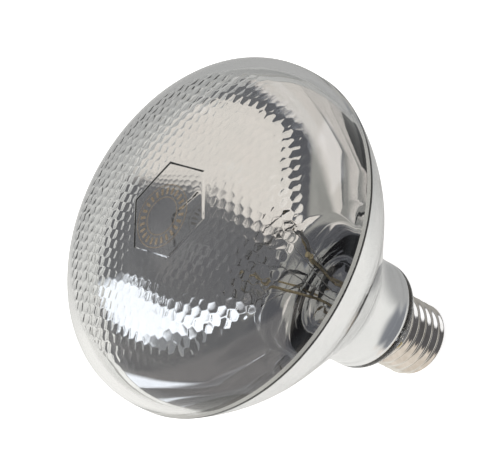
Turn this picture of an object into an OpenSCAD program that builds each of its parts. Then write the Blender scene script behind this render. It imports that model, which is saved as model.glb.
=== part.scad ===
// Infrared reflector lamp with a pressed-glass envelope and an E27 screw cap.
// The lamp's axis is Z. The cap's centre contact rests on Z = 0 and the lens is at the top.

/* [Glass envelope] */
// Largest diameter, at the belt where lens and bowl are sealed together
lamp_diameter = 121; // [118:0.5:124]
// Height of the belt above the centre contact
belt_height = 105; // [103:0.5:108]
// Height of the lens's dome above the belt
dome_height = 27.8; // [25:0.1:31]
// Exponent that sets how square the dome's shoulder is
dome_shoulder_power = 0.766; // [0.7:0.01:0.9]
// Exponent that sets how flat the dome's middle is
dome_middle_power = 0.702; // [0.65:0.01:0.85]
// Thickness of the glass
glass_wall = 3.2; // [2.6:0.1:3.3]
// Diameter of the neck's straight part
neck_diameter = 38.4; // [37:0.2:40]
// Height of the neck's flat end above the centre contact
neck_end_height = 27.5; // [27.5:0.1:28.5]
// Distance across the corners of the flat hexagon inside the lens
hexagon_across = 34.8; // [28:0.2:38]
// How far the hexagon is sunk into the lens's inner face at the axis
hexagon_depth = 0.2; // [0.1:0.05:0.5]

/* [Bowl outline, from the belt down] */
// Radius of the rounding at the belt
belt_round = 3.5; // [3.4:0.1:4]
// Angle to which the belt's rounding turns the outline
belt_turn = 21.5; // [20:0.5:24]
// Radius of the shoulder's arc
shoulder_round = 80; // [76:1:84]
// Slope of the bowl's straight flank, from the axis
flank_angle = 40; // [39:0.5:41]
// Radius of the step's upper edge, where the bowl meets the neck
step_round = 8; // [6:0.5:10]
// Steepest angle of the step
step_angle = 52; // [48:1:56]
// Radius of the step's lower hollow
step_fillet = 10; // [8:0.5:12]
// Angle at which the neck's curve takes over from the step
blend_angle = 35; // [34:0.5:36]
// Radius of the curve that leads into the neck
blend_round = 34; // [32:0.5:36]
// Radius of the rounding at the neck's end
neck_end_round = 5.5; // [5:0.1:6]

/* [Mirror] */
// Width of the clear band left between the belt and the mirror's edge
mirror_gap = 2; // [1:0.5:6]
// Thickness that stands for the mirror film
mirror_film = 0.25; // [0.2:0.05:0.4]

/* [Screw cap] */
// Diameter over the thread's crests
cap_diameter = 26.2; // [26.05:0.05:26.45]
// Height of the screw shell's upper rim above the centre contact
cap_height = 27; // [26.6:0.1:27]
// Distance between two thread crests
thread_pitch = 3.62; // [3.6:0.01:3.64]
// Depth of the rolled thread
thread_depth = 0.9; // [0.8:0.05:0.95]
// Number of crests
thread_crests = 5; // [4:1:5]
// Height of the lowest crest above the centre contact
lowest_crest = 6.6; // [6.4:0.1:6.8]
// Thickness of the shell's sheet metal
shell_sheet = 0.3; // [0.2:0.05:0.3]
// Diameter of the brass centre contact
contact_diameter = 9.8; // [9.5:0.1:11]

/* [Filament and its mount] */
// Direction of the side post from the axis, in degrees from +X
mount_angle = -60; // [-180:1:180]
// Distance of each post from the axis
post_offset = 5.2; // [5:0.1:5.3]
// Diameter of the posts
post_diameter = 1; // [0.8:0.1:1.4]
// Height at which the posts start to lean outwards
post_bend_height = 50; // [48:1:54]
// Radius of the filament's arc
filament_arc = 13.2; // [11:0.1:15]
// Height of the filament
filament_height = 78; // [72:1:82]
// Outer diameter of the filament's coil
coil_diameter = 1.2; // [0.8:0.1:1.4]
// Height of the glass bridge between the posts
bridge_height = 44; // [42:0.5:46]
// Diameter of the glass bridge
bridge_diameter = 3.6; // [3:0.1:4]
// Diameter of the support wires
support_wire = 0.4; // [0.3:0.05:0.5]
// Diameter of the two wires that lead to the cap
outer_wire = 0.44; // [0.4:0.02:0.44]
// Direction of the solder joint on the shell's rim, in degrees from +X
side_joint_angle = -119; // [-150:1:-100]

/* [Hidden] */
$fn = 96;

cut = 1; // how far a cutting shape runs past the face it cuts
lamp_r = lamp_diameter / 2;
neck_r = neck_diameter / 2;
floor_top = neck_end_height + glass_wall;
dome_steps = 40;
arc_steps = 16;

// cap
cap_r = cap_diameter / 2;
shell_low = lowest_crest - thread_pitch / 3;
thread_top = lowest_crest + (thread_crests - 0.5) * thread_pitch;
collar_low = thread_top + 1.1;
collar_steps = 8;
thread_steps = 20;
lip_r = cap_r - 1.7;
boss_r = 10.8;
boss_bore_r = 8.8;
boss_low = 17;
cement_low = 17.6;
cement_r = cap_r - thread_depth - shell_sheet - 0.1;
cement_top = cap_height - 0.4;
insulator_top = shell_low + 2.2;
insulator_dish = 1.2;
insulator_wall = 1.5;
insulator_slope = 1.5;
insulator_low = 2;
insulator_foot_r = contact_diameter / 2 + 0.7;
wire_hole_r = 1.2;
plate_low = 0.9;
plate_rivet_top = 3.9;
plate_hole_r = 0.9;
solder_r = 2.6;
solder_flat_r = 1.4;
solder_rise = 1.2;
solder_steps = 8;

// seals through the neck's floor
ferrule_r = 2.4;
ferrule_wall = 0.5;
ferrule_top = floor_top + 1.5;
flange_r = 3;
flange_thick = 0.6;
clear_ring_r = 3.4;
exhaust_r = 1.9;
exhaust_bore_r = 1.1;
exhaust_tip = 18;

// filament mount
bend_ball = 1.08;
clamp_r = 1;
clamp_long = 3;
bridge_long = 15;
hook_ring_r = coil_diameter / 2 + support_wire / 2 + 0.15;
hook_spread = 3;
hook_angles = [45, 90, 135];

// outer leads
centre_lead_bend = 13;
centre_lead_join = 6.8;
sleeve_low = 14.5;
sleeve_long = 10;
sleeve_r = 1.2;
sleeve_bore_r = outer_wire / 2 + 0.05;
side_lead_low = 15.8;
side_lead_r = 11.3;
side_lead_over = (neck_end_height + cap_height) / 2;
side_lead_end = 25.8;
joint_r = 0.75;
joint_height = 25.7;
joint_sweep = 16;

glass = [0.85, 0.88, 0.9, 0.4];
silver = [0.83, 0.84, 0.85];
nickel = [0.78, 0.76, 0.72];
nickel_wire = [0.6, 0.52, 0.38];
steel_grey = [0.45, 0.45, 0.47];
solder_grey = [0.62, 0.58, 0.4];

// ---- shared shapes -------------------------------------------------------

// Points of an arc about c, from angle a to angle b
function arc(c, r, a, b) =
    [for (i = [0:arc_steps]) let (t = a + (b - a) * i / arc_steps) c + r * [cos(t), sin(t)]];

// Radial and axial travel of an arc whose outline leans from angle a to angle b
function travel(r, a, b) = r * [abs(cos(a) - cos(b)), abs(sin(b) - sin(a))];

// The bowl's outline, set in by w, from the belt down to the axis
function bowl_outline(w) =
    let (
        belt_end = travel(belt_round, 0, belt_turn),
        shoulder_end = belt_end + travel(shoulder_round, belt_turn, flank_angle),
        lower = travel(step_round, flank_angle, step_angle)
            + travel(step_fillet, step_angle, blend_angle) + travel(blend_round, blend_angle, 0),
        flank_in = lamp_r - neck_r - shoulder_end[0] - lower[0],
        flank = [flank_in, flank_in / tan(flank_angle)],
        step_end = shoulder_end + flank + travel(step_round, flank_angle, step_angle),
        blend_start = step_end + travel(step_fillet, step_angle, blend_angle),
        at = function (drop) [lamp_r - drop[0], belt_height - drop[1]],
        out = function (a) [cos(a), -sin(a)]
    )
    concat(
        arc(at([0, 0]) - belt_round * out(0), belt_round - w, 0, -belt_turn),
        arc(at(belt_end) - shoulder_round * out(belt_turn), shoulder_round - w,
            -belt_turn, -flank_angle),
        arc(at(shoulder_end + flank) - step_round * out(flank_angle), step_round - w,
            -flank_angle, -step_angle),
        arc(at(step_end) + step_fillet * out(step_angle), step_fillet + w,
            180 - step_angle, 180 - blend_angle),
        arc(at(blend_start) + blend_round * out(blend_angle), blend_round + w,
            180 - blend_angle, 180),
        arc([neck_r - neck_end_round, neck_end_height + neck_end_round],
            neck_end_round - w, 0, -90),
        [[0, neck_end_height + w]]
    );

// The dome's outline, set in by w, from the belt up to the axis
function dome_outline(w) =
    [for (i = [0:dome_steps]) let (t = 90 * (1 - i / dome_steps))
        [(lamp_r - w) * pow(sin(t), dome_shoulder_power),
         belt_height + (dome_height - w) * pow(cos(t), dome_middle_power)]];

function reversed(points) = [for (i = [len(points) - 1:-1:0]) points[i]];

// The thread's outer radius at height z
function thread_r(z) =
    cap_r - thread_depth / 2 * (1 - cos(360 * (z - lowest_crest) / thread_pitch));

// The screw shell's outline, set in by w, from the lower lip up to the rim
function shell_outline(w) =
    concat(
        [[lip_r, shell_low + w]],
        [for (i = [0:thread_crests * thread_steps])
            let (z = shell_low + w + (thread_top - shell_low - w) * i / (thread_crests * thread_steps))
            [thread_r(z) - w, z]],
        [for (i = [1:collar_steps]) let (t = i / collar_steps)
            [cap_r - w - thread_depth * (1 + cos(180 * t)) / 2,
             thread_top + (collar_low - thread_top) * t]],
        [[cap_r - w, cap_height]]
    );

// A round wire between two points
module wire(from, to, d) {
    v = to - from;
    translate(from)
        rotate([0, acos(v[2] / norm(v)), atan2(v[1], v[0])])
            cylinder(h = norm(v), d = d);
}

// A round wire along a list of points, with a ball at each bend a little wider than the wire
module bent_wire(points, d) {
    for (i = [0:len(points) - 2])
        wire(points[i], points[i + 1], d);
    for (i = [1:len(points) - 2])
        translate(points[i])
            sphere(d = bend_ball * d);
}

// Turns the mount's own plane, in which +X is the side post, to its direction
module in_mount() {
    rotate([0, 0, mount_angle])
        children();
}

// ---- glass envelope ------------------------------------------------------

module front_lens() {
    inner_top = belt_height + dome_height - glass_wall;
    color(glass)
        difference() {
            rotate_extrude()
                polygon(concat(dome_outline(0), reversed(dome_outline(glass_wall))));
            translate([0, 0, inner_top - glass_wall])
                rotate([0, 0, 30])
                    cylinder(h = glass_wall + hexagon_depth, d = hexagon_across, $fn = 6);
        }
}

module reflector_bowl() {
    color(glass)
        difference() {
            union() {
                rotate_extrude()
                    polygon(concat(bowl_outline(0), reversed(bowl_outline(glass_wall))));
                translate([0, 0, boss_low])
                    cylinder(h = neck_end_height + glass_wall / 2 - boss_low, r = boss_r);
            }
            translate([0, 0, boss_low - cut])
                cylinder(h = neck_end_height - boss_low + cut, r = boss_bore_r);
            translate([0, 0, neck_end_height - cut])
                cylinder(h = glass_wall + 2 * cut, r = exhaust_bore_r);
            in_mount()
                for (side = [-1, 1])
                    translate([side * post_offset, 0, neck_end_height - cut])
                        cylinder(h = glass_wall + 2 * cut, r = ferrule_r);
        }
}

module aluminium_mirror() {
    color(silver)
        difference() {
            rotate_extrude()
                polygon(concat(bowl_outline(glass_wall),
                               reversed(bowl_outline(glass_wall + mirror_film))));
            translate([0, 0, belt_height - mirror_gap])
                cylinder(h = mirror_gap + cut, r = lamp_r);
            translate([0, 0, floor_top - cut])
                cylinder(h = 2 * cut, r = exhaust_bore_r);
            in_mount()
                for (side = [-1, 1])
                    translate([side * post_offset, 0, floor_top - cut])
                        cylinder(h = 2 * cut, r = clear_ring_r);
        }
}

module exhaust_tube() {
    color(glass)
        difference() {
            union() {
                translate([0, 0, exhaust_tip + exhaust_r])
                    cylinder(h = neck_end_height - exhaust_tip - exhaust_r, r = exhaust_r);
                translate([0, 0, exhaust_tip + exhaust_r])
                    sphere(r = exhaust_r);
            }
            translate([0, 0, exhaust_tip + exhaust_r])
                cylinder(h = neck_end_height, r = exhaust_bore_r);
        }
}

// ---- filament and its mount ----------------------------------------------

module ferrule(side) {
    color(steel_grey)
        in_mount()
            translate([side * post_offset, 0, 0])
                difference() {
                    union() {
                        translate([0, 0, neck_end_height - flange_thick])
                            cylinder(h = ferrule_top - neck_end_height + flange_thick, r = ferrule_r);
                        translate([0, 0, neck_end_height - flange_thick])
                            cylinder(h = flange_thick, r = flange_r);
                    }
                    translate([0, 0, neck_end_height - flange_thick - cut])
                        cylinder(h = ferrule_top - ferrule_wall - neck_end_height + flange_thick + cut,
                                 r = ferrule_r - ferrule_wall);
                }
}

module ferrule_centre() ferrule(-1);

module ferrule_side() ferrule(1);

// The post on the centre side. The other one is the same post turned half round.
module post() {
    tip = [-filament_arc, 0, filament_height];
    color(nickel_wire) {
        bent_wire([
            [-post_offset, 0, ferrule_top],
            [-post_offset, 0, post_bend_height],
            tip
        ], post_diameter);
        translate(tip - [0, 0, clamp_long / 2])
            cylinder(h = clamp_long, r = clamp_r);
    }
}

module lead_post_centre() {
    in_mount()
        post();
}

module lead_post_side() {
    in_mount()
        rotate([0, 0, 180])
            post();
}

module hook_stem(angle) {
    wire([hook_spread * cos(angle), 0, bridge_height],
         [filament_arc * cos(angle), filament_arc * sin(angle), filament_height - hook_ring_r],
         support_wire);
}

module glass_bridge() {
    color(glass)
        in_mount()
            difference() {
                translate([-bridge_long / 2, 0, bridge_height])
                    rotate([0, 90, 0])
                        cylinder(h = bridge_long, d = bridge_diameter);
                for (side = [-1, 1])
                    translate([side * post_offset, 0, bridge_height - bridge_diameter])
                        cylinder(h = 2 * bridge_diameter, d = post_diameter);
                for (angle = hook_angles)
                    hook_stem(angle);
            }
}

module support_hook(angle) {
    color(steel_grey)
        in_mount() {
            hook_stem(angle);
            translate([filament_arc * cos(angle), filament_arc * sin(angle), filament_height])
                rotate([90, 0, angle])
                    rotate_extrude()
                        translate([hook_ring_r, 0])
                            circle(d = support_wire);
        }
}

module support_hook_1() support_hook(hook_angles[0]);

module support_hook_2() support_hook(hook_angles[1]);

module support_hook_3() support_hook(hook_angles[2]);

module filament() {
    color(steel_grey)
        in_mount()
            difference() {
                translate([0, 0, filament_height])
                    rotate_extrude(angle = 180)
                        translate([filament_arc, 0])
                            circle(d = coil_diameter);
                for (side = [-1, 1])
                    translate([side * filament_arc, 0, filament_height - clamp_long / 2])
                        cylinder(h = clamp_long, r = clamp_r);
            }
}

// ---- wires from the seals to the cap -------------------------------------

// The route of the wire from the centre seal to the centre contact
centre_route = [
    [-post_offset, 0, ferrule_top - ferrule_wall],
    [-post_offset, 0, centre_lead_bend],
    [0, 0, centre_lead_join],
    [0, 0, plate_low]
];

module outer_lead_centre() {
    color(nickel_wire)
        in_mount()
            bent_wire(centre_route, outer_wire);
}

// The point at radius r and height z, in the direction of angle
function at_angle(r, angle, z) = [r * cos(angle), r * sin(angle), z];

// The route of the wire from the side seal up inside the shell and over its rim
side_route = [
    at_angle(post_offset, mount_angle, ferrule_top - ferrule_wall),
    at_angle(post_offset, mount_angle, side_lead_low),
    at_angle(side_lead_r, side_joint_angle, side_lead_low),
    at_angle(side_lead_r, side_joint_angle, side_lead_over),
    at_angle(cap_r + outer_wire / 2, side_joint_angle, side_lead_over),
    at_angle(cap_r + outer_wire / 2, side_joint_angle, side_lead_end)
];

module outer_lead_side() {
    color(nickel_wire)
        bent_wire(side_route, outer_wire);
}

module fuse_sleeve() {
    color("white")
        in_mount()
            translate([-post_offset, 0, sleeve_low])
                difference() {
                    cylinder(h = sleeve_long, r = sleeve_r);
                    translate([0, 0, -cut])
                        cylinder(h = sleeve_long + 2 * cut, r = sleeve_bore_r);
                }
}

// ---- screw cap -----------------------------------------------------------

module basing_cement() {
    color("tan")
        difference() {
            union() {
                translate([0, 0, cement_low])
                    cylinder(h = cement_top - cement_low, r = cement_r);
                translate([0, 0, collar_low])
                    cylinder(h = cement_top - collar_low, r = cap_r - shell_sheet);
            }
            translate([0, 0, cement_low - cut])
                cylinder(h = cap_height, r = boss_r);
            translate(at_angle(side_lead_r, side_joint_angle, cement_low - cut))
                cylinder(h = cap_height, d = outer_wire);
        }
}

module screw_shell() {
    color(nickel)
        rotate_extrude()
            polygon(concat(shell_outline(0), reversed(shell_outline(shell_sheet))));
}

module cap_insulator() {
    color([0.06, 0.06, 0.07])
        rotate_extrude()
            polygon([
                [wire_hole_r, insulator_low],
                [insulator_foot_r, insulator_low],
                [lip_r, shell_low],
                [lip_r, insulator_top],
                [lip_r - insulator_wall, insulator_top],
                [lip_r - insulator_wall - insulator_slope, insulator_top - insulator_dish],
                [wire_hole_r, insulator_top - insulator_dish]
            ]);
}

module contact_plate() {
    color("goldenrod")
        rotate_extrude()
            polygon([
                [plate_hole_r, plate_low],
                [contact_diameter / 2, plate_low],
                [contact_diameter / 2, insulator_low],
                [wire_hole_r, insulator_low],
                [wire_hole_r, plate_rivet_top],
                [plate_hole_r, plate_rivet_top]
            ]);
}

module centre_solder() {
    color(solder_grey)
        rotate_extrude()
            polygon(concat(
                [[0, 0], [solder_flat_r, 0]],
                [for (i = [1:solder_steps]) let (t = 90 * i / solder_steps)
                    [solder_flat_r + (solder_r - solder_flat_r) * sin(t),
                     plate_low * (1 - cos(t))]],
                [[plate_hole_r, plate_low],
                 [plate_hole_r, plate_low + solder_rise],
                 [outer_wire / 2, plate_low + solder_rise],
                 [outer_wire / 2, plate_low],
                 [0, plate_low]]
            ));
}

module side_solder() {
    color(solder_grey)
        rotate([0, 0, side_joint_angle])
            difference() {
                translate([0, 0, joint_height])
                    rotate([0, 0, -joint_sweep / 2])
                        rotate_extrude(angle = joint_sweep)
                            difference() {
                                translate([cap_r, 0])
                                    circle(r = joint_r);
                                translate([cap_r - 2 * joint_r, -joint_r])
                                    square(2 * joint_r);
                            }
                translate([cap_r + outer_wire / 2, 0, side_lead_end])
                    cylinder(h = 2 * joint_r, d = outer_wire);
            }
}

front_lens();
reflector_bowl();
aluminium_mirror();
exhaust_tube();
ferrule_centre();
ferrule_side();
lead_post_centre();
lead_post_side();
glass_bridge();
support_hook_1();
support_hook_2();
support_hook_3();
filament();
outer_lead_centre();
outer_lead_side();
fuse_sleeve();
basing_cement();
screw_shell();
cap_insulator();
contact_plate();
centre_solder();
side_solder();
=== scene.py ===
"""Looks for the infrared reflector lamp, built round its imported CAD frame. Lengths are in millimetres."""

import math

import bmesh
import bpy
import numpy as np
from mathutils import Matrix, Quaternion, Vector
from mathutils.geometry import delaunay_2d_cdt


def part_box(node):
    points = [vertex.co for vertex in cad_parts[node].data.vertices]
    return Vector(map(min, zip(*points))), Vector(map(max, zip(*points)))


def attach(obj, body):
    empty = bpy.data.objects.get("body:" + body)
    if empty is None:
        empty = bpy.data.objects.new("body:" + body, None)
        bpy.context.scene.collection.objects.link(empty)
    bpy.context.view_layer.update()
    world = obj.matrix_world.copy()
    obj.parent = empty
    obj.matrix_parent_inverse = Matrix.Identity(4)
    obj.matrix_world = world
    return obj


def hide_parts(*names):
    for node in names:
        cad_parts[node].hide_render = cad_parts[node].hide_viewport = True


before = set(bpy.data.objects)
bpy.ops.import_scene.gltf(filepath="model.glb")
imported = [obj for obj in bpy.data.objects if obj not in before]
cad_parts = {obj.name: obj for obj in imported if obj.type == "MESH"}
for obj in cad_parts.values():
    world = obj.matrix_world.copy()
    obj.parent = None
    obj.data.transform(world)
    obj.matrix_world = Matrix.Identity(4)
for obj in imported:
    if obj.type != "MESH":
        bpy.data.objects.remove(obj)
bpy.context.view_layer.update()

MM = 0.001


def box_mm(node):
    """Lowest and highest corner of a CAD node, in millimetres."""
    low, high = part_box(node)
    return np.array(low) / MM, np.array(high) / MM


# ---- sizes that the CAD gives --------------------------------------------------

LENS_LOW, LENS_HIGH = box_mm("front_lens")
SHELL_LOW, SHELL_HIGH = box_mm("screw_shell")
BOWL_LOW, BOWL_HIGH = box_mm("reflector_bowl")
BELT_Z = LENS_LOW[2]
LAMP_R = LENS_HIGH[0]
DOME_H = LENS_HIGH[2] - BELT_Z
CAP_R = SHELL_HIGH[0]
CAP_TOP = SHELL_HIGH[2]
SHELL_BOTTOM = SHELL_LOW[2]
BOSS_LOW = BOWL_LOW[2]

# ---- sizes of the glass envelope, as in the CAD --------------------------------

WALL = 3.2
DOME_SHOULDER, DOME_MIDDLE = 0.766, 0.702
NECK_R = 19.2
NECK_END = 27.5
BELT_ROUND, BELT_TURN = 3.5, 21.5
SHOULDER_ROUND, FLANK = 80, 40
STEP_ROUND, STEP_ANGLE, STEP_FILLET = 8, 52, 10
BLEND_ANGLE, BLEND_ROUND = 35, 34
NECK_END_ROUND = 5.5
BOSS_R, BOSS_BORE_R = 10.8, 8.8
FLOOR_TOP = NECK_END + WALL
MIRROR_GAP, MIRROR_FILM = 2, 0.2
MIRROR_SINK = 0.02      # the film starts this deep in the glass, so the two faces don't coincide
SEAM = 0.01             # half the width of the seam line at the belt
ROUND = 288             # segments round the envelope
ENVELOPE_SHARP = 35     # degrees; an edge of the glass that bends more than this is drawn sharp

MOUNT_ANGLE = -60
POST_OFFSET, POST_D = 5.2, 1.0
POST_BEND_Z = 50
FERRULE_R, FERRULE_TOP, CLEAR_RING_R = 2.4, FLOOR_TOP + 1.5, 3.4
EXHAUST_BORE_R = 1.1
FILAMENT_ARC, FILAMENT_Z = 13.2, 78
COIL_D = 1.2
BRIDGE_Z, BRIDGE_D, BRIDGE_LONG = 44, 3.6, 15
SUPPORT_WIRE = 0.4
HOOK_SPREAD = 3
HOOK_ANGLES = (45, 90, 135)
CLAMP_LONG = 3

# ---- screw cap ------------------------------------------------------------------

THREAD_PITCH, THREAD_DEPTH, LOWEST_CREST = 3.62, 0.9, 6.6
COLLAR_Z = 24.0         # the thread has run out here
SHEET = 0.3
LIP_R, LIP_HEIGHT = 11.4, 1.2
SIDE_JOINT_ANGLE, JOINT_Z = -119, 25.7

# ---- printed ring on the lens ----------------------------------------------------

PRINT_X, PRINT_Y = -2.9, -0.1
PRINT_INNER, PRINT_OUTER = 6.4, 10.6
PRINT_TICKS = 24
INK_LOW, INK_HIGH = 0.005, 0.03

# ---- the pressed pattern inside the lens ---------------------------------------

CELL_PITCH = 3.55       # between the middles of two bumps
CELL_HEIGHT = 0.11
CELL_FLAT = 3           # the higher, the flatter a bump's top and the narrower the grooves
CELL_SWAY = 0.17        # how far the bumps wander from an even pattern
CELL_ROUND = 6          # the lower, the rounder a bump's outline
CELL_TILT = 0.02        # greatest slope by which one bump differs from the next
CELL_STEPS = 5          # mesh points from a bump's middle to its corner
STIPPLE_R, STIPPLE_FADE = 50.2, 2.5     # the pattern fades out here and the glass is smooth to the rim
RING_R = 51.2           # the lens's planar mesh is joined to rings here
HEXAGON_R = 17.4        # to the corners of the flat hexagon
HEXAGON_BEVEL = 1.1
HEXAGON_DEPTH = 0.2     # sunk this far into the inner face at the axis
HEXAGON_MARGIN = 1.1    # smooth glass between the hexagon and the pattern


# ---- mesh helpers ---------------------------------------------------------------

def link(name, mesh):
    piece = bpy.data.objects.new(name, mesh)
    bpy.context.scene.collection.objects.link(piece)
    return piece


def make_piece(name, verts, faces, sharp=None):
    """A mesh from points in millimetres, smooth but for edges bent by more than sharp degrees."""
    mesh = bpy.data.meshes.new(name)
    mesh.from_pydata([tuple(v) for v in np.asarray(verts, float) * MM], [], faces)
    bm = bmesh.new()
    bm.from_mesh(mesh)
    bmesh.ops.recalc_face_normals(bm, faces=bm.faces)
    for face in bm.faces:
        face.smooth = True
    if sharp is not None:
        limit = math.radians(sharp)
        for edge in bm.edges:
            edge.smooth = len(edge.link_faces) == 2 and edge.calc_face_angle(0) < limit
    bm.to_mesh(mesh)
    bm.free()
    mesh.update()
    return link(name, mesh)


def revolved(outline, segments=ROUND, closed=True):
    """Points and faces of an outline of (radius, z) turned about the axis. A point on it becomes a pole."""
    angles = np.linspace(0, 2 * math.pi, segments, endpoint=False)
    verts, rings = [], []
    for r, z in outline:
        start = len(verts)
        if r < 1e-6:
            verts.append((0, 0, z))
            rings.append([start] * segments)
        else:
            verts += [(r * math.cos(a), r * math.sin(a), z) for a in angles]
            rings.append(list(range(start, start + segments)))
    pairs = list(zip(rings, rings[1:] + rings[:1])) if closed else list(zip(rings, rings[1:]))
    faces = []
    for low, high in pairs:
        for i in range(segments):
            j = (i + 1) % segments
            face = [low[i], low[j], high[j], high[i]]
            face = [v for k, v in enumerate(face) if v != face[k - 1]]
            if len(face) > 2:
                faces.append(face)
    return verts, faces


def turned_piece(name, outline):
    return make_piece(name, *revolved(outline), sharp=ENVELOPE_SHARP)


def joined(*parts):
    """One list of points and faces from several."""
    verts, faces = [], []
    for more_verts, more_faces in parts:
        base = len(verts)
        verts += [tuple(v) for v in more_verts]
        faces += [[base + i for i in face] for face in more_faces]
    return verts, faces


def tube(path, radius, sides):
    """A round tube along a list of points, closed at both ends."""
    path = np.asarray(path, float)
    tangents = np.gradient(path, axis=0)
    tangents /= np.linalg.norm(tangents, axis=1)[:, None]
    normal = np.cross(tangents[0], (0.3, 0.2, 1.0))
    normal /= np.linalg.norm(normal)
    verts = []
    for point, tangent in zip(path, tangents):
        normal = normal - tangent * np.dot(normal, tangent)
        normal /= np.linalg.norm(normal)
        side = np.cross(tangent, normal)
        for k in range(sides):
            t = 2 * math.pi * k / sides
            verts.append(point + radius * (math.cos(t) * normal + math.sin(t) * side))
    faces = []
    last = (len(path) - 1) * sides
    for low in range(0, last, sides):
        high = low + sides
        for k in range(sides):
            n = (k + 1) % sides
            faces.append([low + k, low + n, high + n, high + k])
    faces.append(list(range(sides))[::-1])
    faces.append(list(range(last, last + sides)))
    return verts, faces


def smooth_path(points, bend, steps):
    """A polyline whose corners are rounded off, starting bend millimetres from each corner."""
    points = [np.array(p, float) for p in points]
    path = [points[0]]
    for before, corner, after in zip(points, points[1:], points[2:]):
        a = corner + (before - corner) / np.linalg.norm(before - corner) * bend
        b = corner + (after - corner) / np.linalg.norm(after - corner) * bend
        for i in range(steps + 1):
            t = i / steps
            path.append((1 - t) ** 2 * a + 2 * t * (1 - t) * corner + t ** 2 * b)
    return path + [points[-1]]


def in_mount(x, y, z):
    """A point given in the mount's own plane, in which +X is the side post."""
    a = math.radians(MOUNT_ANGLE)
    return np.array([x * math.cos(a) - y * math.sin(a), x * math.sin(a) + y * math.cos(a), z])


def cut_holes(piece, holes):
    """Takes upright round holes, given as (centre, radius, low, high), out of a piece."""
    for centre, radius, low, high in holes:
        ring = revolved([(0, low), (radius, low), (radius, high), (0, high)], 64, closed=False)
        verts = [np.array(v) + (centre[0], centre[1], 0) for v in ring[0]]
        cutter = make_piece("cutter", verts, ring[1])
        modifier = piece.modifiers.new("hole", "BOOLEAN")
        modifier.operation = "DIFFERENCE"
        modifier.solver = "EXACT"
        modifier.object = cutter
        cut = bpy.data.meshes.new_from_object(piece.evaluated_get(bpy.context.evaluated_depsgraph_get()))
        piece.modifiers.clear()
        piece.data = cut
        bpy.data.objects.remove(cutter)


# ---- outlines of the envelope -----------------------------------------------------

def arc(centre, radius, start, end, steps=24):
    t = np.radians(np.linspace(start, end, steps + 1))
    return np.asarray(centre) + radius * np.stack([np.cos(t), np.sin(t)], 1)


def travel(radius, a, b):
    a, b = math.radians(a), math.radians(b)
    return radius * np.array([abs(math.cos(a) - math.cos(b)), abs(math.sin(b) - math.sin(a))])


def out(angle):
    return np.array([math.cos(math.radians(angle)), -math.sin(math.radians(angle))])


def bowl_outline(inset):
    """The bowl's outline from the belt to the flat of the neck's end, set in from the outer face."""
    belt = travel(BELT_ROUND, 0, BELT_TURN)
    shoulder = belt + travel(SHOULDER_ROUND, BELT_TURN, FLANK)
    step = travel(STEP_ROUND, FLANK, STEP_ANGLE)
    hollow = travel(STEP_FILLET, STEP_ANGLE, BLEND_ANGLE)
    flank_in = LAMP_R - NECK_R - (shoulder + step + hollow + travel(BLEND_ROUND, BLEND_ANGLE, 0))[0]
    flank = shoulder + np.array([flank_in, flank_in / math.tan(math.radians(FLANK))])

    def at(drop):
        return np.array([LAMP_R - drop[0], BELT_Z - drop[1]])

    return np.concatenate([
        arc(at((0, 0)) - BELT_ROUND * out(0), BELT_ROUND - inset, 0, -BELT_TURN, 6),
        arc(at(belt) - SHOULDER_ROUND * out(BELT_TURN), SHOULDER_ROUND - inset, -BELT_TURN, -FLANK, 40)[1:],
        arc(at(flank) - STEP_ROUND * out(FLANK), STEP_ROUND - inset, -FLANK, -STEP_ANGLE, 6),
        arc(at(flank + step) + STEP_FILLET * out(STEP_ANGLE), STEP_FILLET + inset,
            180 - STEP_ANGLE, 180 - BLEND_ANGLE, 8)[1:],
        arc(at(flank + step + hollow) + BLEND_ROUND * out(BLEND_ANGLE), BLEND_ROUND + inset,
            180 - BLEND_ANGLE, 180, 24)[1:],
        arc((NECK_R - NECK_END_ROUND, NECK_END + NECK_END_ROUND), NECK_END_ROUND - inset, 0, -90, 14),
    ])


def dome_point(t, inset):
    """Radius and height above the belt of the dome, for t from 0 on the axis to 90 degrees at the belt."""
    r = (LAMP_R - inset) * np.sin(t) ** DOME_SHOULDER
    return r, (DOME_H - inset) * np.clip(np.cos(t), 0, 1) ** DOME_MIDDLE


def dome_z(r, inset):
    """Height of the dome at a radius."""
    t = np.arcsin(np.clip(r / (LAMP_R - inset), 0, 1) ** (1 / DOME_SHOULDER))
    return BELT_Z + dome_point(t, inset)[1]


def dome_rings(inset, start_r, steps):
    """Radii and heights from start_r out to the belt, closer together where the dome turns down."""
    first = math.asin((start_r / (LAMP_R - inset)) ** (1 / DOME_SHOULDER)) if start_r > 0 else 0.0
    t = np.linspace(first, math.pi / 2, steps + 1)
    r, z = dome_point(t, inset)
    return np.stack([r, BELT_Z + z], 1)


# ---- front lens --------------------------------------------------------------------

def smoothstep(t):
    t = np.clip(t, 0, 1)
    return t * t * (3 - 2 * t)


def hexagon_reach(x, y):
    """How far a point lies from the axis towards the hexagon's nearest side."""
    angles = (0, math.pi / 3, 2 * math.pi / 3)
    return np.max([np.abs(x * math.cos(a) + y * math.sin(a)) for a in angles], axis=0)


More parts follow.
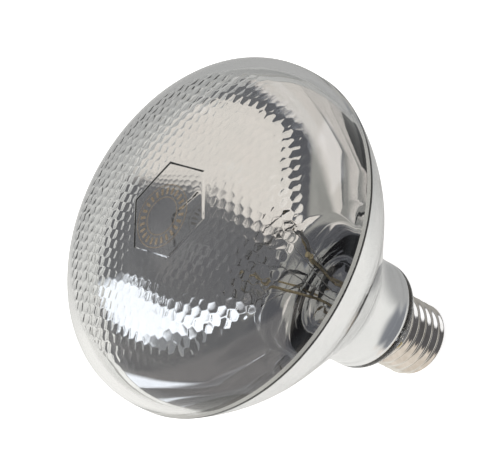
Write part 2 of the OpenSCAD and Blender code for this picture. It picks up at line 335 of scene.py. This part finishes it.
def cell_bump(x, y):
    """Height of the pressed bumps: flat-topped hexagons in columns along Y, each touching six others."""
    row = CELL_PITCH * math.sqrt(3) / 2
    x, y = (x + CELL_SWAY * np.sin(1.21 * y + 1.1 * np.sin(0.83 * x)),
            y + CELL_SWAY * np.sin(1.13 * x + 1.3 * np.sin(0.71 * y) + 2))
    nearest = np.full(np.shape(x), 1e9)
    bump = np.zeros(np.shape(x))
    column = np.round(x / row)
    for shift in (-1, 0, 1):
        k = column + shift
        start = np.where(k % 2 == 0, 0.0, CELL_PITCH / 2)
        m = np.round((y - start) / CELL_PITCH)
        dx, dy = x - k * row, y - m * CELL_PITCH - start
        sides = [np.abs(dx * math.cos(a) + dy * math.sin(a)) for a in np.radians((30, 90, 150))]
        reach = sum(side ** CELL_ROUND for side in sides) ** (1 / CELL_ROUND) / (CELL_PITCH / 2)
        chance = np.sin(k * 12.9898 + m * 78.233) * 4375.85453
        tilts = [CELL_TILT * (2 * (chance * factor % 1) - 1) for factor in (1, 1.7)]
        crown = 1 - 0.4 * reach ** 2 - 0.6 * reach ** CELL_FLAT
        height = (CELL_HEIGHT + tilts[0] * dx + tilts[1] * dy) * crown
        bump = np.where(reach < nearest, height, bump)
        nearest = np.minimum(nearest, reach)
    return bump


def inner_face_z(x, y):
    """Height of the lens's inner face: the dome, the bumps and the flat hexagon."""
    r = np.hypot(x, y)
    z = dome_z(r, WALL)
    flat = HEXAGON_R * math.cos(math.pi / 6)
    reach = hexagon_reach(x, y)
    fade = smoothstep((STIPPLE_R - r) / STIPPLE_FADE)
    fade = fade * smoothstep((reach - flat - HEXAGON_MARGIN / 2) / HEXAGON_MARGIN)
    z = z - cell_bump(x, y) * fade
    plateau = BELT_Z + DOME_H - WALL + HEXAGON_DEPTH
    rise = smoothstep((flat - reach) / HEXAGON_BEVEL)
    return np.where(reach < flat, z + (plateau - z) * rise, z)


def hexagon_points(reach, spacing):
    """Evenly spaced points along a hexagon with corners towards +Y and -Y."""
    corner = reach / math.cos(math.pi / 6)
    corners = [corner * np.array([math.cos(math.radians(a)), math.sin(math.radians(a))])
               for a in range(-90, 271, 60)]
    points = []
    for a, b in zip(corners, corners[1:]):
        steps = round(corner / spacing)
        points += [a + (b - a) * i / steps for i in range(steps)]
    return points


def inner_face():
    """The patterned inner face of the lens: a planar mesh in the middle and rings beyond it."""
    side = CELL_PITCH / math.sqrt(3) / CELL_STEPS
    rows = int(RING_R / side) + 2
    i, j = np.meshgrid(np.arange(-2 * rows, 2 * rows + 1), np.arange(-2 * rows, 2 * rows + 1))
    x, y = (i + j / 2) * side, j * side * math.sqrt(3) / 2
    reach, flat = hexagon_reach(x, y), HEXAGON_R * math.cos(math.pi / 6)
    bevel = (flat - HEXAGON_BEVEL, flat)
    lines = [*np.linspace(*bevel, 6), flat + HEXAGON_MARGIN]
    keep = np.hypot(x, y) < RING_R - 0.6 * side
    for line in lines:
        keep &= np.abs(reach - line) > 0.45 * side
    keep &= ~((reach > bevel[0]) & (reach < bevel[1]))
    coarse = (i - j) % 3 == 0
    keep &= (reach > bevel[0] - side) | coarse
    points = list(zip(x[keep], y[keep]))
    for line in lines:
        points += [tuple(p) for p in hexagon_points(line, side)]
    inside = len(points)
    angles = np.linspace(0, 2 * math.pi, ROUND, endpoint=False)
    points += [(RING_R * math.cos(a), RING_R * math.sin(a)) for a in angles]
    flat_verts, _, faces, sources, _, _ = delaunay_2d_cdt([Vector(p) for p in points], [], [], 0, 1e-6)
    xy = np.array([tuple(v) for v in flat_verts])
    verts = np.column_stack([xy, inner_face_z(xy[:, 0], xy[:, 1])]).tolist()
    made_from = {old: new for new, olds in enumerate(sources) for old in olds}
    rim = [made_from[inside + k] for k in range(ROUND)]
    faces = [list(f) for f in faces]
    for r, z in dome_rings(WALL, RING_R, 14)[1:]:
        start = len(verts)
        verts += [(r * math.cos(a), r * math.sin(a), z) for a in angles]
        ring = list(range(start, start + ROUND))
        faces += [[rim[k - 1], rim[k], ring[k], ring[k - 1]] for k in range(ROUND)]
        rim = ring
    return verts, faces, rim


def make_lens():
    verts, faces, inner_rim = inner_face()
    for k in inner_rim:
        verts[k] = (verts[k][0], verts[k][1], BELT_Z + SEAM)
    base = len(verts)
    outline = dome_rings(0, 0, 72)[::-1]
    outline[0][1] = BELT_Z + SEAM
    outer_verts, outer_faces = revolved(outline, closed=False)
    verts += outer_verts
    faces += [[base + i for i in face] for face in outer_faces]
    faces += [[inner_rim[k - 1], inner_rim[k], base + k, base + k - 1 if k else base + ROUND - 1]
              for k in range(ROUND)]
    return make_piece("lens_pressed_glass", verts, faces, sharp=ENVELOPE_SHARP)


# ---- bowl and mirror ------------------------------------------------------------------

def make_bowl():
    outer, inner = bowl_outline(0), bowl_outline(WALL)[::-1]
    outer[0][1] = inner[-1][1] = BELT_Z - SEAM
    foot = [(BOSS_R, NECK_END), (BOSS_R, BOSS_LOW + 0.6), (BOSS_R - 0.6, BOSS_LOW),
            (BOSS_BORE_R + 0.6, BOSS_LOW), (BOSS_BORE_R, BOSS_LOW + 0.6), (BOSS_BORE_R, NECK_END),
            (EXHAUST_BORE_R, NECK_END), (EXHAUST_BORE_R, FLOOR_TOP)]
    bowl = turned_piece("bowl_pressed_glass", list(map(tuple, outer)) + foot + list(map(tuple, inner)))
    cut_holes(bowl, [(in_mount(side * POST_OFFSET, 0, 0), FERRULE_R, NECK_END - 1, FLOOR_TOP + 1)
                     for side in (-1, 1)])
    return bowl


def make_mirror():
    """The film covers the bowl's inner face up to a clear band below the belt."""
    def below_edge(points):
        edge = BELT_Z - MIRROR_GAP
        kept = [tuple(p) for p in points if p[1] < edge - 0.05]
        over = [p for p in points if p[1] >= edge - 0.05][-1]
        t = (over[1] - edge) / (over[1] - kept[0][1])
        return [(over[0] + (kept[0][0] - over[0]) * t, edge)] + kept
    outer = below_edge(bowl_outline(WALL - MIRROR_SINK))
    inner = below_edge(bowl_outline(WALL + MIRROR_FILM))[::-1]
    floor = [(EXHAUST_BORE_R, outer[-1][1]), (EXHAUST_BORE_R, inner[0][1])]
    film = turned_piece("evaporated_mirror", outer + floor + inner)
    cut_holes(film, [(in_mount(side * POST_OFFSET, 0, 0), CLEAR_RING_R, FLOOR_TOP - 1, FLOOR_TOP + 1)
                     for side in (-1, 1)])
    return film


# ---- filament and its mount ---------------------------------------------------------------

def make_post(side):
    """A lead post with its smooth bend and the crimped sleeve that grips the filament's end."""
    tip = np.array([side * FILAMENT_ARC, 0, FILAMENT_Z])
    foot, bend = [(side * POST_OFFSET, 0, z) for z in (FERRULE_TOP - 0.2, POST_BEND_Z)]
    route = smooth_path([foot, bend, tip], 4, 10)
    wire = tube(route, POST_D / 2, 20)
    half = CLAMP_LONG / 2
    profile = [(0, -half), (0.8, -half), (1.0, -half + 0.2), (1.0, -half + 0.7), (0.84, -0.4), (0.84, 0.4),
               (1.0, half - 0.7), (1.0, half - 0.2), (0.8, half), (0, half)]
    clamp = revolved(profile, 40, closed=False)
    clamp = ([np.array(v) + tip for v in clamp[0]], clamp[1])
    verts, faces = joined(wire, clamp)
    name = "lead_post_formed_" + ("side" if side > 0 else "centre")
    return make_piece(name, [in_mount(*v) for v in verts], faces, sharp=50)


def make_bridge():
    """A flame-polished glass rod, swollen where it closes round the posts."""
    half, r = BRIDGE_LONG / 2, BRIDGE_D / 2
    outline = []
    for x in np.linspace(-half, half, 61):
        end = math.sqrt(max(0.0, 1 - (max(0.0, abs(x) - half + r) / r) ** 2))
        swell = 0.16 * sum(math.exp(-((x - p) / 1.1) ** 2) for p in (-POST_OFFSET, POST_OFFSET))
        outline.append(((r - 0.16 + swell) * end, x))
    verts, faces = revolved(outline, 40, closed=False)
    return make_piece("bridge_glass_rod", [in_mount(z, x, y + BRIDGE_Z) for x, y, z in verts], faces)


def make_hook(number, angle):
    """A fine wire from the bridge to the filament, curled once round it."""
    a = math.radians(angle)
    across = np.array([math.cos(a), math.sin(a), 0])
    ring = COIL_D / 2 + SUPPORT_WIRE / 2 + 0.15
    foot = np.array([HOOK_SPREAD * math.cos(a), 0, BRIDGE_Z])
    middle = FILAMENT_ARC * across + (0, 0, FILAMENT_Z)
    route = [foot + (middle - (0, 0, ring) - foot) * t for t in np.linspace(0, 1, 8)]
    around = np.array([-math.sin(a), math.cos(a), 0])
    for t in np.radians(np.linspace(-90, 290, 40))[1:]:
        shift = (t + math.pi / 2) / (2 * math.pi) * SUPPORT_WIRE * 1.1
        curl = math.cos(t) * across + math.sin(t) * np.array([0, 0, 1])
        route.append(middle + ring * curl + shift * around)
    verts, faces = tube(route, SUPPORT_WIRE / 2, 12)
    return make_piece(f"support_wire_{number}", [in_mount(*v) for v in verts], faces, sharp=60)


def make_filament():
    """The coiled wire, bent into half a circle between the two posts."""
    wire_r, pitch, per_turn = 0.13, 0.44, 16
    coil_r = COIL_D / 2 - wire_r
    turns = int(math.pi * FILAMENT_ARC / pitch)
    t = np.linspace(0, 1, turns * per_turn + 1)
    along, spin = math.pi * t, 2 * math.pi * turns * t
    reach = FILAMENT_ARC + coil_r * np.cos(spin)
    route = np.stack([reach * np.cos(along), reach * np.sin(along), FILAMENT_Z + coil_r * np.sin(spin)], 1)
    verts, faces = tube(route, wire_r, 7)
    return make_piece("filament_coil", [in_mount(*v) for v in verts], faces, sharp=60)


# ---- screw cap --------------------------------------------------------------------------------

def shell_r(z, angle):
    """Outer radius of the rolled shell: a right-handed thread that fades out below the plain collar."""
    wave = 0.5 - 0.5 * math.cos(2 * math.pi * (z - LOWEST_CREST) / THREAD_PITCH - angle)
    fade = 1 - smoothstep((z - COLLAR_Z + 1.6) / 1.6)
    r = CAP_R - THREAD_DEPTH * wave * fade
    curl = 1 - math.sqrt(max(0.0, 1 - max(0.0, 1 - (z - SHELL_BOTTOM) / LIP_HEIGHT) ** 2))
    return r - (r - LIP_R) * curl


def make_shell():
    """The screw shell: sheet metal, so an outer and an inner face, with a rounded rim and lip."""
    segments = 144
    heights = np.concatenate([np.linspace(SHELL_BOTTOM, SHELL_BOTTOM + LIP_HEIGHT, 10)[:-1],
                              np.linspace(SHELL_BOTTOM + LIP_HEIGHT, CAP_TOP, 110)])
    angles = np.linspace(0, 2 * math.pi, segments, endpoint=False)
    verts, rings = [], []

    def ring(z, inset, lift=0.0):
        rings.append([len(verts) + k for k in range(segments)])
        for a in angles:
            r = shell_r(z, a) - inset
            verts.append((r * math.cos(a), r * math.sin(a), z + lift))

    for z in heights[:-1]:
        ring(z, 0)
    ring(CAP_TOP - SHEET / 3, 0)
    ring(CAP_TOP, SHEET / 3)
    ring(CAP_TOP, 2 * SHEET / 3)
    for z in heights[::-1][1:]:
        ring(max(z, SHELL_BOTTOM + SHEET), SHEET)
    faces = []
    for low, high in zip(rings, rings[1:] + rings[:1]):
        faces += [[low[k - 1], low[k], high[k], high[k - 1]] for k in range(segments)]
    return make_piece("screw_shell_rolled", verts, faces, sharp=60)


def make_side_joint():
    """The solder that holds the side wire on the shell, run a little way down a thread."""
    ball = bmesh.new()
    bmesh.ops.create_icosphere(ball, subdivisions=5, radius=1)
    verts = []
    for v in ball.verts:
        u, w, h = v.co
        wobble = 1 + 0.10 * math.sin(3.1 * u + 1.3) * math.cos(2.7 * w) + 0.06 * math.sin(5 * w + 2 * h)
        along, up, proud = u * 2.3 * wobble, w * 1.0 * wobble, h * 0.62 * wobble
        z = JOINT_Z - 0.9 + up - 0.42 * along
        a = math.radians(SIDE_JOINT_ANGLE) + along / CAP_R
        r = shell_r(z, a) + proud - 0.12
        verts.append((r * math.cos(a), r * math.sin(a), z))
    faces = [[v.index for v in f.verts] for f in ball.faces]
    ball.free()
    return make_piece("side_solder_joint", verts, faces)


# ---- printed ring -------------------------------------------------------------------------------

def on_lens(x, y, lift):
    return (x, y, float(dome_z(np.hypot(x, y), 0)) + lift)


def ink_patch(inner, outer, start, end, steps):
    """A thin film of ink on the lens, between two radii and two angles about the print's own centre."""
    whole = end - start >= 360
    angles = np.radians(np.linspace(start, end, steps, endpoint=not whole))
    corners = []
    for a in angles:
        for r, lift in ((inner, INK_LOW), (outer, INK_LOW), (outer, INK_HIGH), (inner, INK_HIGH)):
            corners.append(on_lens(PRINT_X + r * math.cos(a), PRINT_Y + r * math.sin(a), lift))
    faces = []
    for k in range(steps if whole else steps - 1):
        a, b = 4 * k, 4 * ((k + 1) % steps)
        faces += [[a + m, a + (m + 1) % 4, b + (m + 1) % 4, b + m] for m in range(4)]
    if not whole:
        faces += [[0, 1, 2, 3], [4 * steps - 1, 4 * steps - 2, 4 * steps - 3, 4 * steps - 4]]
    return corners, faces


def make_print():
    """Two plain rings and evenly spaced ticks, with no lettering."""
    rings = [ink_patch(r - 0.14, r + 0.14, 0, 360, 120) for r in (PRINT_INNER, PRINT_OUTER)]
    step = 360 / PRINT_TICKS
    ticks = [ink_patch(PRINT_INNER + 0.95, PRINT_OUTER - 0.95, k * step - 3.2, k * step + 3.2, 4)
             for k in range(PRINT_TICKS)]
    return make_piece("printed_ring", *joined(*rings, *ticks), sharp=40)


# ---- pieces ----------------------------------------------------------------------------------------

def place(piece, slot, material, *nodes):
    """Puts a piece on the lamp's one body in place of CAD nodes, with its material. The slot is not used."""
    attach(piece, "root")
    if nodes:
        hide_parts(*nodes)
    piece.data.materials.clear()
    piece.data.materials.append(material)
    return piece


def dress(node, material):
    """Gives a CAD node its material."""
    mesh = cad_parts[node].data
    mesh.materials.clear()
    mesh.materials.append(material)


# ---- materials --------------------------------------------------------------------------------------

def surface(name, colours, roughness, scale, bump=None, **fixed):
    """A Principled material whose colour and roughness drift between two values over the surface.

    colours and roughness are pairs, scale is the drift's noise scale, and bump is (noise scale, height in
    metres). The other arguments are values set once on the shader.
    """
    made = bpy.data.materials.new(name)
    made.use_nodes = True
    nodes, links = made.node_tree.nodes, made.node_tree.links
    shader = nodes["Principled BSDF"]
    place_of = nodes.new("ShaderNodeTexCoord").outputs["Object"]

    def noise(size, detail=3.0):
        node = nodes.new("ShaderNodeTexNoise")
        node.inputs["Scale"].default_value = size
        node.inputs["Detail"].default_value = detail
        links.new(place_of, node.inputs["Vector"])
        return node.outputs["Fac"]

    drift = noise(scale)
    mix = nodes.new("ShaderNodeMix")
    mix.data_type = "RGBA"
    mix.inputs["A"].default_value, mix.inputs["B"].default_value = [(*c, 1) for c in colours]
    stretch = nodes.new("ShaderNodeMapRange")
    stretch.inputs["From Min"].default_value, stretch.inputs["From Max"].default_value = 0.35, 0.65
    links.new(drift, stretch.inputs["Value"])
    links.new(stretch.outputs["Result"], mix.inputs["Factor"])
    links.new(mix.outputs["Result"], shader.inputs["Base Color"])
    rough = nodes.new("ShaderNodeMapRange")
    rough.inputs["From Min"].default_value, rough.inputs["From Max"].default_value = 0.35, 0.65
    rough.inputs["To Min"].default_value, rough.inputs["To Max"].default_value = roughness
    links.new(noise(scale * 2.3), rough.inputs["Value"])
    links.new(rough.outputs["Result"], shader.inputs["Roughness"])
    if bump:
        node = nodes.new("ShaderNodeBump")
        node.inputs["Distance"].default_value = bump[1]
        node.inputs["Strength"].default_value = 1.0
        links.new(noise(bump[0], 2.0), node.inputs["Height"])
        links.new(node.outputs["Normal"], shader.inputs["Normal"])
    for socket, value in fixed.items():
        shader.inputs[socket.replace("_", " ")].default_value = value
    return made


LENS_GLASS = surface("lens_glass", ((0.97, 0.98, 0.975), (0.99, 0.99, 0.985)), (0.0, 0.004), 60,
                     bump=(55, 4e-5), Transmission_Weight=1.0, IOR=1.5)
BOWL_GLASS = surface("bowl_glass", ((0.97, 0.98, 0.975), (0.99, 0.99, 0.985)), (0.0, 0.01), 60,
                     bump=(70, 3e-5), Transmission_Weight=1.0, IOR=1.5)
INNER_GLASS = surface("inner_glass", ((0.95, 0.97, 0.965), (0.98, 0.99, 0.985)), (0.0, 0.02), 300,
                      bump=(600, 2e-5), Transmission_Weight=1.0, IOR=1.5)
SILVERING = surface("mirror_film", ((0.86, 0.865, 0.87), (0.9, 0.9, 0.905)), (0.015, 0.035), 90,
                    bump=(120, 1.2e-5), Metallic=1.0)
NICKEL_WIRE = surface("post_nickel", ((0.52, 0.43, 0.28), (0.66, 0.55, 0.36)), (0.22, 0.38), 500,
                      bump=(2500, 1e-5), Metallic=1.0)
FERRULE_METAL = surface("ferrule_metal", ((0.3, 0.29, 0.28), (0.5, 0.48, 0.46)), (0.35, 0.55), 900,
                        bump=(3000, 1e-5), Metallic=1.0)
MOLYBDENUM = surface("molybdenum", ((0.42, 0.42, 0.43), (0.55, 0.55, 0.56)), (0.25, 0.4), 900,
                     bump=(4000, 5e-6), Metallic=1.0)
TUNGSTEN = surface("tungsten", ((0.24, 0.24, 0.25), (0.38, 0.38, 0.39)), (0.3, 0.5), 900,
                   bump=(5000, 5e-6), Metallic=1.0)
COPPER_WIRE = surface("lead_copper", ((0.6, 0.33, 0.2), (0.8, 0.5, 0.33)), (0.25, 0.4), 900,
                      bump=(4000, 5e-6), Metallic=1.0)
CERAMIC = surface("sleeve_ceramic", ((0.82, 0.8, 0.75), (0.9, 0.89, 0.86)), (0.6, 0.8), 700,
                  bump=(2500, 3e-5))
CEMENT = surface("cement", ((0.52, 0.44, 0.33), (0.7, 0.62, 0.5)), (0.8, 0.95), 900, bump=(1800, 1.5e-4))
NICKEL = surface("shell_nickel", ((0.70, 0.66, 0.60), (0.82, 0.79, 0.74)), (0.06, 0.14), 260,
                 bump=(500, 2.5e-5), Metallic=1.0)
BLACK_GLASS = surface("black_glass", ((0.012, 0.012, 0.016), (0.03, 0.03, 0.035)), (0.08, 0.2), 300,
                      bump=(350, 5e-5), IOR=1.55, Coat_Weight=0.4)
BRASS = surface("contact_brass", ((0.66, 0.47, 0.2), (0.82, 0.63, 0.32)), (0.2, 0.4), 500,
                bump=(1500, 2e-5), Metallic=1.0)
SOLDER = surface("solder", ((0.5, 0.44, 0.3), (0.68, 0.64, 0.56)), (0.25, 0.5), 500,
                 bump=(700, 1e-4), Metallic=0.9)
FLUX_SOLDER = surface("solder_flux", ((0.42, 0.31, 0.10), (0.66, 0.58, 0.36)), (0.2, 0.45), 500,
                      bump=(700, 1.2e-4), Metallic=0.55)
INK = surface("print_ink", ((0.30, 0.23, 0.14), (0.44, 0.35, 0.24)), (0.4, 0.6), 300, bump=(3000, 5e-6),
              Alpha=0.45)

place(make_lens(), "lens_glass", LENS_GLASS, "front_lens")
place(make_bowl(), "bowl_glass", BOWL_GLASS, "reflector_bowl")
place(make_mirror(), "mirror_film", SILVERING, "aluminium_mirror")
place(make_post(-1), "post_nickel", NICKEL_WIRE, "lead_post_centre")
place(make_post(1), "post_nickel", NICKEL_WIRE, "lead_post_side")
place(make_bridge(), "inner_glass", INNER_GLASS, "glass_bridge")
for number, angle in enumerate(HOOK_ANGLES, 1):
    place(make_hook(number, angle), "molybdenum", MOLYBDENUM, f"support_hook_{number}")
place(make_filament(), "tungsten", TUNGSTEN, "filament")
place(make_shell(), "shell_nickel", NICKEL, "screw_shell")
place(make_side_joint(), "solder", FLUX_SOLDER, "side_solder")
place(make_print(), "print_ink", INK)
dress("exhaust_tube", INNER_GLASS)
for node in ("ferrule_centre", "ferrule_side"):
    dress(node, FERRULE_METAL)
for node in ("outer_lead_centre", "outer_lead_side"):
    dress(node, COPPER_WIRE)
dress("fuse_sleeve", CERAMIC)
dress("basing_cement", CEMENT)
dress("cap_insulator", BLACK_GLASS)
dress("contact_plate", BRASS)
dress("centre_solder", SOLDER)

# ---- stage, light and camera ----------------------------------------------------------------------------

FLOOR_HALF = 4000       # millimetres, as is FLOOR_DROP
FLOOR_DROP = 0.2        # how far the floor lies below the lamp, so their faces don't coincide
FLOOR_GLOW = 0.75
SUN_STRENGTH = 1.8
BACK_LOWER, BACK_UPPER = (0.90, 0.89, 0.86), (0.42, 0.42, 0.415)
SIDE_WALL, LEFT_WALL, DARK_SIDE = (0.23, 0.24, 0.26), (0.42, 0.41, 0.38), (0.12, 0.12, 0.13)
TABLE = (0.86, 0.80, 0.74)
SOFT_BOX = (1.3, 1.35, 1.45)
SOFT_BOX_AT, SOFT_BOX_HALF, SOFT_BOX_EDGE = (53, 58), (15, 19), 0.06    # the first two in degrees
BACKDROP = (1, 1, 1)

CAMERA_AT = (-82.0, -601.6, 630.1)
CAMERA_AIM = (5.28, -0.77, 95.64)
CAMERA_ROLL = 61.74
CAMERA_LENS = 178.8


def make_floor():
    """A plain pale floor. It isn't mirrored in the lamp: the studio's pale lower half is."""
    h = FLOOR_HALF
    floor = make_piece("floor", [(-h, -h, -FLOOR_DROP), (h, -h, -FLOOR_DROP), (h, h, -FLOOR_DROP),
                                 (-h, h, -FLOOR_DROP)], [[0, 1, 2, 3]])
    paper = surface("floor_paper", ((0.9, 0.9, 0.9), (0.93, 0.93, 0.93)), (0.6, 0.7), 3,
                    Emission_Color=(1, 1, 1, 1), Emission_Strength=FLOOR_GLOW)
    floor.data.materials.append(paper)
    floor.visible_glossy = floor.visible_transmission = False


def make_camera():
    data = bpy.data.cameras.new("camera")
    data.sensor_width, data.lens = 36, CAMERA_LENS
    data.clip_start, data.clip_end = 0.01, 100
    camera = bpy.data.objects.new("camera", data)
    bpy.context.scene.collection.objects.link(camera)
    at, aim = Vector(CAMERA_AT) * MM, Vector(CAMERA_AIM) * MM
    camera.location = at
    camera.rotation_mode = "QUATERNION"
    turn = (aim - at).to_track_quat("-Z", "Y")
    camera.rotation_quaternion = turn @ Quaternion((0, 0, 1), -math.radians(CAMERA_ROLL))
    bpy.context.scene.camera = camera


# The studio round the lamp is laid out from the camera: ahead is from the lamp to the camera.
AHEAD = Vector((-0.108, -0.743, 0.661)).normalized()
UP = Vector((0.917, 0.183, 0.356)).normalized()
RIGHT = UP.cross(AHEAD).normalized()


def studio(azimuth, elevation):
    """A direction in the studio. Azimuth 0 is towards the camera and 90 to the right of its picture."""
    a, e = math.radians(azimuth), math.radians(elevation)
    return (math.cos(e) * (math.cos(a) * AHEAD + math.sin(a) * RIGHT) + math.sin(e) * UP).normalized()


class Shades:
    """Small helpers for the world's nodes."""

    def __init__(self, tree):
        self.nodes, self.links = tree.nodes, tree.links
        self.direction = self.nodes.new("ShaderNodeTexCoord").outputs["Generated"]

    def dot(self, axis):
        node = self.nodes.new("ShaderNodeVectorMath")
        node.operation = "DOT_PRODUCT"
        self.links.new(self.direction, node.inputs[0])
        node.inputs[1].default_value = axis
        return node.outputs["Value"]

    def math(self, operation, *values):
        node = self.nodes.new("ShaderNodeMath")
        node.operation = operation
        for socket, value in zip(node.inputs, values):
            if isinstance(value, (int, float)):
                socket.default_value = value
            else:
                self.links.new(value, socket)
        return node.outputs[0]

    def ramp(self, value, start, end):
        """0 before start, 1 after end, smooth between. start may be the greater."""
        node = self.nodes.new("ShaderNodeMapRange")
        node.interpolation_type = "SMOOTHSTEP"
        node.inputs["From Min"].default_value, node.inputs["From Max"].default_value = start, end
        self.links.new(value, node.inputs["Value"])
        return node.outputs["Result"]

    def mix(self, factor, a, b):
        node = self.nodes.new("ShaderNodeMix")
        node.data_type = "RGBA"
        self.links.new(factor, node.inputs["Factor"])
        for socket, value in (("A", a), ("B", b)):
            if isinstance(value, tuple):
                node.inputs[socket].default_value = (*value, 1)
            else:
                self.links.new(value, node.inputs[socket])
        return node.outputs["Result"]

    def panel(self, at, half_sizes, soft):
        """1 inside a rectangle, given its middle and its half width and height in degrees."""
        middle = studio(*at)
        side = UP.cross(middle).normalized()
        top = middle.cross(side)
        depth = self.math("MAXIMUM", self.dot(middle), 0.001)
        masks = []
        for axis, half in zip((side, top), half_sizes):
            reach = self.math("ABSOLUTE", self.math("DIVIDE", self.dot(axis), depth))
            edge = math.tan(math.radians(half))
            masks.append(self.ramp(reach, edge + soft, edge - soft))
        return self.math("MULTIPLY", *masks)


def make_world():
    """A plain studio in broad soft tones: pale behind and below, dark round the camera, a soft box above."""
    world = bpy.data.worlds.new("studio")
    bpy.context.scene.world = world
    world.use_nodes = True
    tree = world.node_tree
    shades = Shades(tree)
    ahead, up, right = (shades.dot(axis) for axis in (AHEAD, UP, RIGHT))
    colour = shades.mix(shades.ramp(up, -0.20, 0.24), BACK_LOWER, BACK_UPPER)
    colour = shades.mix(shades.ramp(ahead, -0.24, 0.0), colour, SIDE_WALL)
    colour = shades.mix(shades.ramp(ahead, 0.08, 0.34), colour, DARK_SIDE)
    leftward = shades.math("MULTIPLY", shades.ramp(right, -0.48, -0.62), shades.ramp(ahead, -0.3, -0.1))
    colour = shades.mix(leftward, colour, LEFT_WALL)
    below = shades.math("MULTIPLY", shades.ramp(up, -0.26, -0.42), shades.ramp(right, 0.52, 0.32))
    colour = shades.mix(shades.math("MULTIPLY", below, shades.ramp(ahead, -0.30, -0.10)), colour, TABLE)
    colour = shades.mix(shades.panel(SOFT_BOX_AT, SOFT_BOX_HALF, SOFT_BOX_EDGE), colour, SOFT_BOX)
    seen = tree.nodes.new("ShaderNodeLightPath").outputs["Is Camera Ray"]
    colour = shades.mix(seen, colour, BACKDROP)
    tree.links.new(colour, tree.nodes["Background"].inputs["Color"])


def make_sun():
    """Soft light for the floor and everything matt. Glass and mirror show the studio's tones instead."""
    data = bpy.data.lights.new("overhead", "SUN")
    data.energy, data.angle = SUN_STRENGTH, math.radians(70)
    sun = bpy.data.objects.new("overhead", data)
    bpy.context.scene.collection.objects.link(sun)
    sun.rotation_mode = "QUATERNION"
    sun.rotation_quaternion = Vector((0.3, 0.35, -1)).to_track_quat("-Z", "Y")
    sun.visible_glossy = sun.visible_transmission = False


make_floor()
make_camera()
make_world()
make_sun()
bpy.context.scene.view_settings.view_transform = "Standard"
